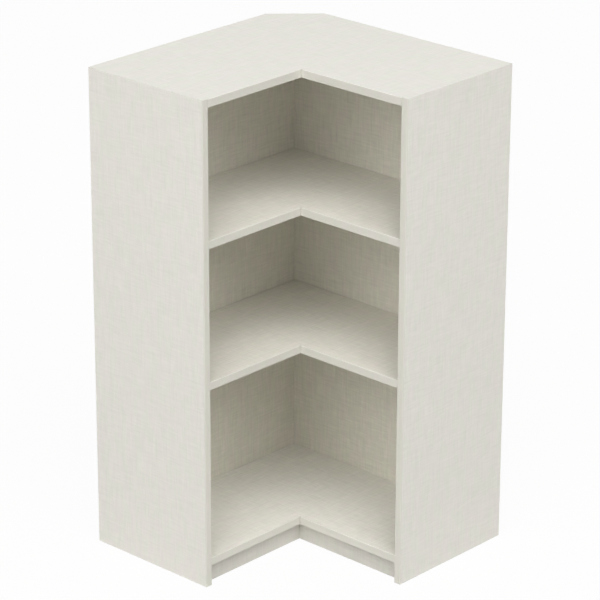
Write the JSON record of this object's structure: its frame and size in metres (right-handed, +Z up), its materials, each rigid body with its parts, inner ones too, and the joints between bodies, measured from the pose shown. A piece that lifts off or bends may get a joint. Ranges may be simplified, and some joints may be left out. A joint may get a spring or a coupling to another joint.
{
  "type": "corner wall cabinet",
  "caption": "open L-shaped corner cabinet with a clipped rear corner, loose L-shaped shelves and a recessed base, for an inside corner of a room",
  "frame": {"origin": "centre of the bounding square, level with the sides' lower edges", "axes": "+Z up; the room's walls are the planes x = -0.305 and y = +0.305; the left wing runs along the left wall towards -Y and the right wing along the right wall towards +X, so the notch with the open fronts faces +X and -Y"},
  "size_m": [0.61, 0.61, 1.067],
  "materials": {
    "side_board": "off-white melamine face with a fine embossed linen weave",
    "top_board": "off-white melamine face with a fine embossed linen weave",
    "shelf_board": "off-white melamine face with a fine embossed linen weave",
    "back_board": "off-white melamine face with a fine embossed linen weave",
    "fascia_board": "off-white melamine face with a fine embossed linen weave",
    "rail_board": "plain off-white melamine face",
    "batten_board": "plain off-white melamine face",
    "edge_band": "off-white plastic strip, satin, with an eased arris",
    "beech": "bare beech",
    "cam_zinc": "zinc die casting, dull",
    "fixing_steel": "zinc-plated steel",
    "sheet_steel": "galvanised sheet steel",
    "pin_steel": "nickel-plated steel",
    "cap_plastic": "off-white moulded plastic"
  },
  "bodies": {
    "carcass": {"left_side_panel": "side_board", "right_side_panel": "side_board", "top_panel": "top_board", "bottom_panel": "shelf_board", "left_back_panel": "back_board", "right_back_panel": "back_board", "left_fascia": "fascia_board", "right_fascia": "fascia_board", "left_hanging_rail": "rail_board", "right_hanging_rail": "rail_board", "left_base_rail": "rail_board", "right_base_rail": "rail_board", "left_back_batten": "batten_board", "right_back_batten": "batten_board", "left_side_edge_band": "edge_band", "right_side_edge_band": "edge_band", "board_dowels": "beech", "rail_dowels": "beech", "fascia_dowels": "beech", "cam_locks": "cam_zinc", "cam_bolts": "fixing_steel", "rail_screws": "fixing_steel", "batten_screws": "fixing_steel", "bracket_screws": "fixing_steel", "angle_screws": "fixing_steel", "back_corner_angle": "sheet_steel", "base_brackets": "sheet_steel", "upper_shelf_pins": "pin_steel", "lower_shelf_pins": "pin_steel", "wall_screw_caps": "cap_plastic", "top_left_edge_band": "edge_band", "top_right_edge_band": "edge_band", "bottom_left_edge_band": "edge_band", "bottom_right_edge_band": "edge_band"},
    "upper_shelf": {"upper_shelf": "shelf_board", "upper_shelf_left_edge_band": "edge_band", "upper_shelf_right_edge_band": "edge_band"},
    "lower_shelf": {"lower_shelf": "shelf_board", "lower_shelf_left_edge_band": "edge_band", "lower_shelf_right_edge_band": "edge_band"}
  },
  "joints": [
    {"name": "upper_shelf_lift", "type": "slide", "parent": "carcass", "child": "upper_shelf", "axis": [0, 0, 1], "range_m": [0, 0.23]},
    {"name": "lower_shelf_lift", "type": "slide", "parent": "carcass", "child": "lower_shelf", "axis": [0, 0, 1], "range_m": [0, 0.28]}
  ]
}
